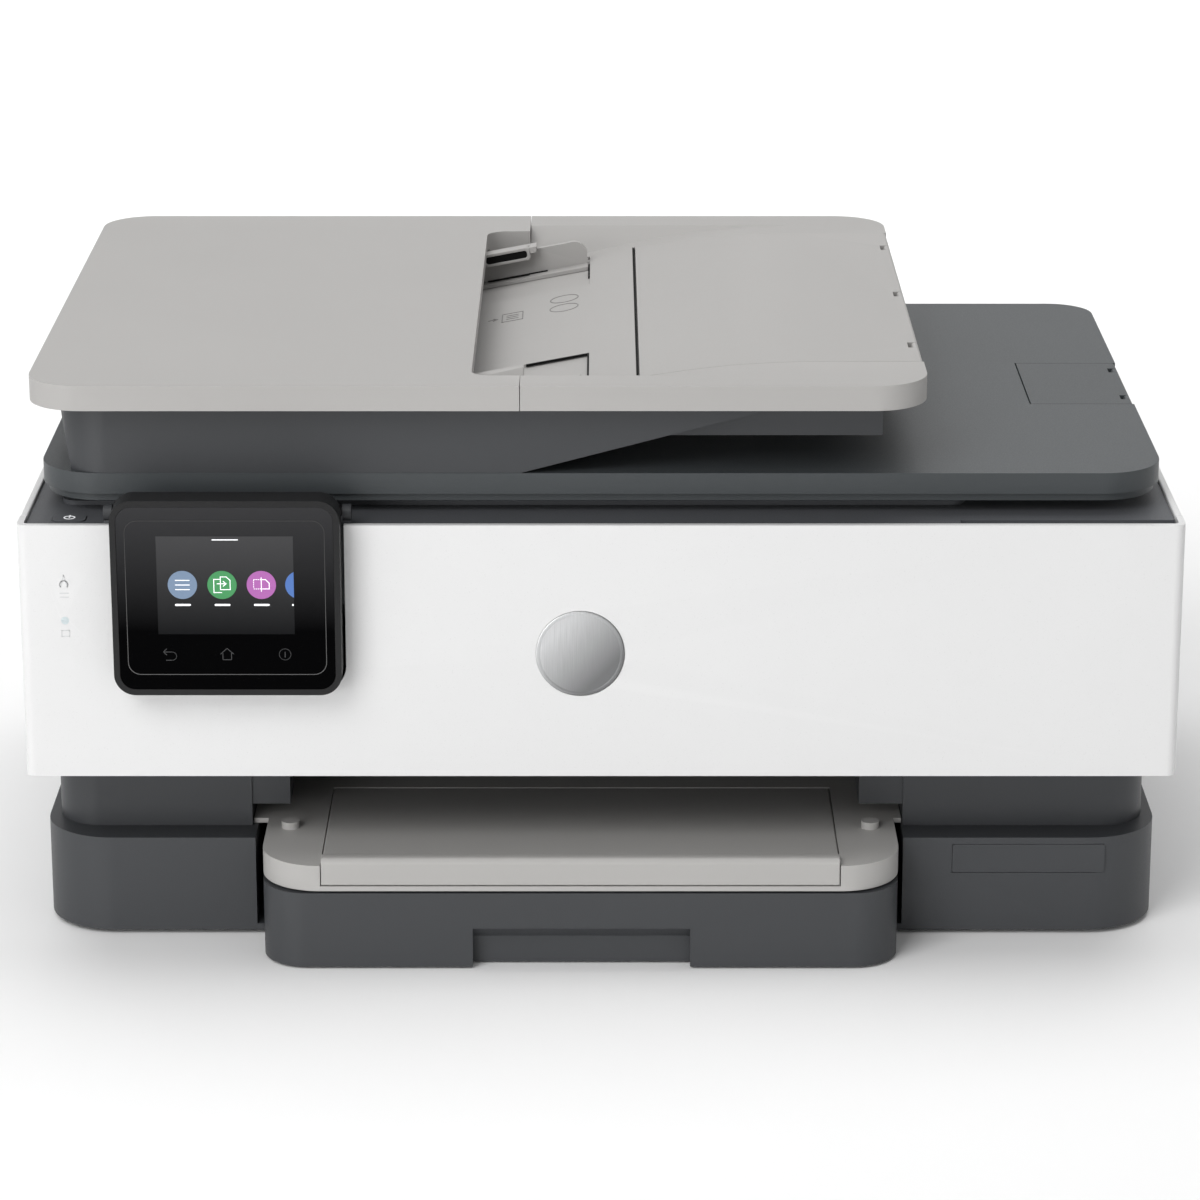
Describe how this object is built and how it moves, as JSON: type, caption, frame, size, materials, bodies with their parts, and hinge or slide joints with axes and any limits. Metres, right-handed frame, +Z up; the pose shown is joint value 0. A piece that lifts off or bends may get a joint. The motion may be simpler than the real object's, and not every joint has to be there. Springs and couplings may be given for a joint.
{
  "type": "inkjet printer",
  "caption": "Desktop all-in-one inkjet printer with flatbed scanner, document feeder, tilting touch panel, front door, sliding paper tray and moving ink carriage.",
  "frame": {"origin": "middle of the printer's footprint, on the surface that it stands on", "axes": "+X to the right seen from the front, +Y to the back, +Z up"},
  "size_m": [0.46, 0.341, 0.234],
  "materials": {
    "white_shell": "satin white moulding",
    "light_shell": "fine-textured light grey moulding",
    "output_shell": "fine-textured grey moulding",
    "dark_shell": "fine-textured dark grey moulding",
    "lid_shell": "fine-textured blue-grey moulding",
    "inner_plastic": "plain black moulding",
    "panel_black": "satin black moulding",
    "panel_glass": "polished black",
    "display": "lit screen",
    "badge": "brushed silver",
    "light_pipe": "translucent",
    "rubber": "matt",
    "clear_glass": "polished",
    "bright_steel": "ground",
    "sheet_steel": "zinc plated",
    "motor_steel": "plated",
    "brass": "turned",
    "white_gear": "acetal",
    "circuit_board": "solder mask",
    "ink_black": "moulded",
    "ink_colours": "moulded, one tint for each ink",
    "liner_white": "plain white",
    "pad_white": "white faced foam"
  },
  "bodies": {
    "printer": {"base_shell": "dark_shell", "rubber_feet": "rubber", "label_plate": "dark_shell", "mid_body": "dark_shell", "upper_frame": "inner_plastic", "side_panel_left": "white_shell", "side_panel_right": "white_shell", "rear_panel": "dark_shell", "power_inlet": "inner_plastic", "power_supply": "sheet_steel", "main_board": "circuit_board", "scanner_bed": "dark_shell", "scanner_glass": "clear_glass", "scan_rail": "bright_steel", "carriage_frame": "sheet_steel", "guide_rod": "bright_steel", "drive_belt": "rubber", "carriage_motor": "motor_steel", "feed_motor": "motor_steel", "platen": "inner_plastic", "service_station": "inner_plastic", "output_tray": "output_shell", "lid_hinge_brackets": "inner_plastic"},
    "front_door": {"front_door": "white_shell", "round_badge": "badge", "status_light": "light_pipe"},
    "control_panel": {"panel_housing": "panel_black", "panel_glass": "panel_glass", "display": "display"},
    "power_button": {"power_button": "dark_shell"},
    "rear_access_door": {"rear_access_door": "dark_shell"},
    "scan_bar": {"scan_bar": "inner_plastic"},
    "carriage": {"carriage": "inner_plastic", "printhead": "motor_steel", "black_cartridge": "ink_black", "colour_cartridges": "ink_colours"},
    "drive_pulley": {"drive_pulley": "brass"},
    "idler_pulley": {"idler_pulley": "white_gear"},
    "feed_roller": {"feed_roller": "rubber"},
    "transfer_gear": {"transfer_gear": "white_gear"},
    "eject_roller": {"eject_roller": "rubber"},
    "pickup_roller": {"pickup_roller": "rubber"},
    "input_tray": {"input_tray": "dark_shell"},
    "lift_plate": {"lift_plate": "sheet_steel"},
    "tray_guide_left": {"tray_guide_left": "dark_shell"},
    "tray_guide_right": {"tray_guide_right": "dark_shell"},
    "length_guide": {"length_guide": "dark_shell"},
    "output_extension": {"output_extension": "output_shell"},
    "scanner_lid": {"lid_hinge_pins": "bright_steel", "scanner_lid": "lid_shell", "lid_liner": "liner_white", "lid_pad": "pad_white", "adf_body": "dark_shell", "adf_tray": "light_shell"},
    "adf_cover": {"adf_cover": "light_shell"},
    "adf_flap": {"adf_flap": "light_shell"},
    "adf_guide_front": {"adf_guide_front": "light_shell"},
    "adf_guide_rear": {"adf_guide_rear": "light_shell"},
    "adf_pickup_roller": {"adf_pickup_roller": "rubber"},
    "output_stop": {"output_stop": "lid_shell"}
  },
  "joints": [
    {"name": "front_door_hinge", "type": "hinge", "parent": "printer", "child": "front_door", "pos_m": [0, -0.146, 0.0785], "axis": [1, 0, 0], "range_deg": [0, 85]},
    {"name": "panel_tilt", "type": "hinge", "parent": "printer", "child": "control_panel", "pos_m": [-0.1471, -0.147, 0.184], "axis": [-1, 0, 0], "range_deg": [0, 50]},
    {"name": "power_button_push", "type": "slide", "parent": "printer", "child": "power_button", "axis": [0, 0, -1], "range_m": [0, 0.0008], "stiffness_N_per_m": 600, "springref_m": -0.0004},
    {"name": "rear_door_hinge", "type": "hinge", "parent": "printer", "child": "rear_access_door", "pos_m": [0, 0.1602, 0.0504], "axis": [-1, 0, 0], "range_deg": [0, 90]},
    {"name": "scan_bar_slide", "type": "slide", "parent": "printer", "child": "scan_bar", "axis": [1, 0, 0], "range_m": [0, 0.325]},
    {"name": "carriage_slide", "type": "slide", "parent": "printer", "child": "carriage", "axis": [1, 0, 0], "range_m": [-0.302, 0]},
    {"name": "drive_pulley_spin", "type": "hinge", "parent": "printer", "child": "drive_pulley", "pos_m": [0.196, 0.0529, 0.107], "axis": [0, 0, 1], "continuous": true},
    {"name": "idler_pulley_spin", "type": "hinge", "parent": "printer", "child": "idler_pulley", "pos_m": [-0.196, 0.0529, 0.107], "axis": [0, 0, 1], "continuous": true},
    {"name": "feed_roller_spin", "type": "hinge", "parent": "printer", "child": "feed_roller", "pos_m": [0, 0.016, 0.062], "axis": [1, 0, 0], "continuous": true},
    {"name": "transfer_gear_spin", "type": "hinge", "parent": "printer", "child": "transfer_gear", "pos_m": [-0.209, -0.0265, 0.062], "axis": [1, 0, 0], "continuous": true},
    {"name": "eject_roller_spin", "type": "hinge", "parent": "printer", "child": "eject_roller", "pos_m": [0, -0.0635, 0.062], "axis": [1, 0, 0], "continuous": true},
    {"name": "pickup_roller_spin", "type": "hinge", "parent": "printer", "child": "pickup_roller", "pos_m": [0, 0.118, 0.048], "axis": [1, 0, 0], "continuous": true},
    {"name": "input_tray_slide", "type": "slide", "parent": "printer", "child": "input_tray", "axis": [0, -1, 0], "range_m": [0, 0.2]},
    {"name": "lift_plate_hinge", "type": "hinge", "parent": "input_tray", "child": "lift_plate", "pos_m": [-0.0083, 0.024, 0.0095], "axis": [1, 0, 0], "range_deg": [0, 6]},
    {"name": "left_guide_slide", "type": "slide", "parent": "input_tray", "child": "tray_guide_left", "axis": [1, 0, 0], "range_m": [0, 0.034]},
    {"name": "right_guide_slide", "type": "slide", "parent": "input_tray", "child": "tray_guide_right", "axis": [1, 0, 0], "range_m": [-0.034, 0]},
    {"name": "length_guide_slide", "type": "slide", "parent": "input_tray", "child": "length_guide", "axis": [0, 1, 0], "range_m": [0, 0.08]},
    {"name": "output_extension_slide", "type": "slide", "parent": "printer", "child": "output_extension", "axis": [0, -1, 0], "range_m": [0, 0.07]},
    {"name": "lid_hinge", "type": "hinge", "parent": "printer", "child": "scanner_lid", "pos_m": [0, 0.1632, 0.187], "axis": [-1, 0, 0], "range_deg": [0, 80]},
    {"name": "cover_hinge", "type": "hinge", "parent": "scanner_lid", "child": "adf_cover", "pos_m": [-0.208, 0, 0.219], "axis": [0, -1, 0], "range_deg": [0, 75]},
    {"name": "flap_hinge", "type": "hinge", "parent": "scanner_lid", "child": "adf_flap", "pos_m": [0.1274, 0, 0.23265], "axis": [0, 1, 0], "range_deg": [0, 165]},
    {"name": "rear_guide_slide", "type": "slide", "parent": "scanner_lid", "child": "adf_guide_rear", "axis": [0, -1, 0], "range_m": [0, 0.03]},
    {"name": "front_guide_slide", "type": "slide", "parent": "scanner_lid", "child": "adf_guide_front", "axis": [0, -1, 0], "range_m": [-0.03, 0]},
    {"name": "adf_pickup_spin", "type": "hinge", "parent": "scanner_lid", "child": "adf_pickup_roller", "pos_m": [-0.066, 0, 0.2205], "axis": [0, 1, 0], "continuous": true},
    {"name": "output_stop_hinge", "type": "hinge", "parent": "scanner_lid", "child": "output_stop", "pos_m": [0.2224, 0.0117, 0.19405], "axis": [0, 1, 0], "range_deg": [0, 168]}
  ],
  "couplings": [
    {"joint": "drive_pulley_spin", "follows": "carriage_slide", "rad_per_m": 158.73},
    {"joint": "idler_pulley_spin", "follows": "carriage_slide", "rad_per_m": 158.73},
    {"joint": "transfer_gear_spin", "follows": "feed_roller_spin", "ratio": -1.0732},
    {"joint": "eject_roller_spin", "follows": "feed_roller_spin", "ratio": 1.3333},
    {"joint": "pickup_roller_spin", "follows": "feed_roller_spin", "ratio": 0.8},
    {"joint": "right_guide_slide", "follows": "left_guide_slide", "ratio": -1},
    {"joint": "front_guide_slide", "follows": "rear_guide_slide", "ratio": -1}
  ]
}
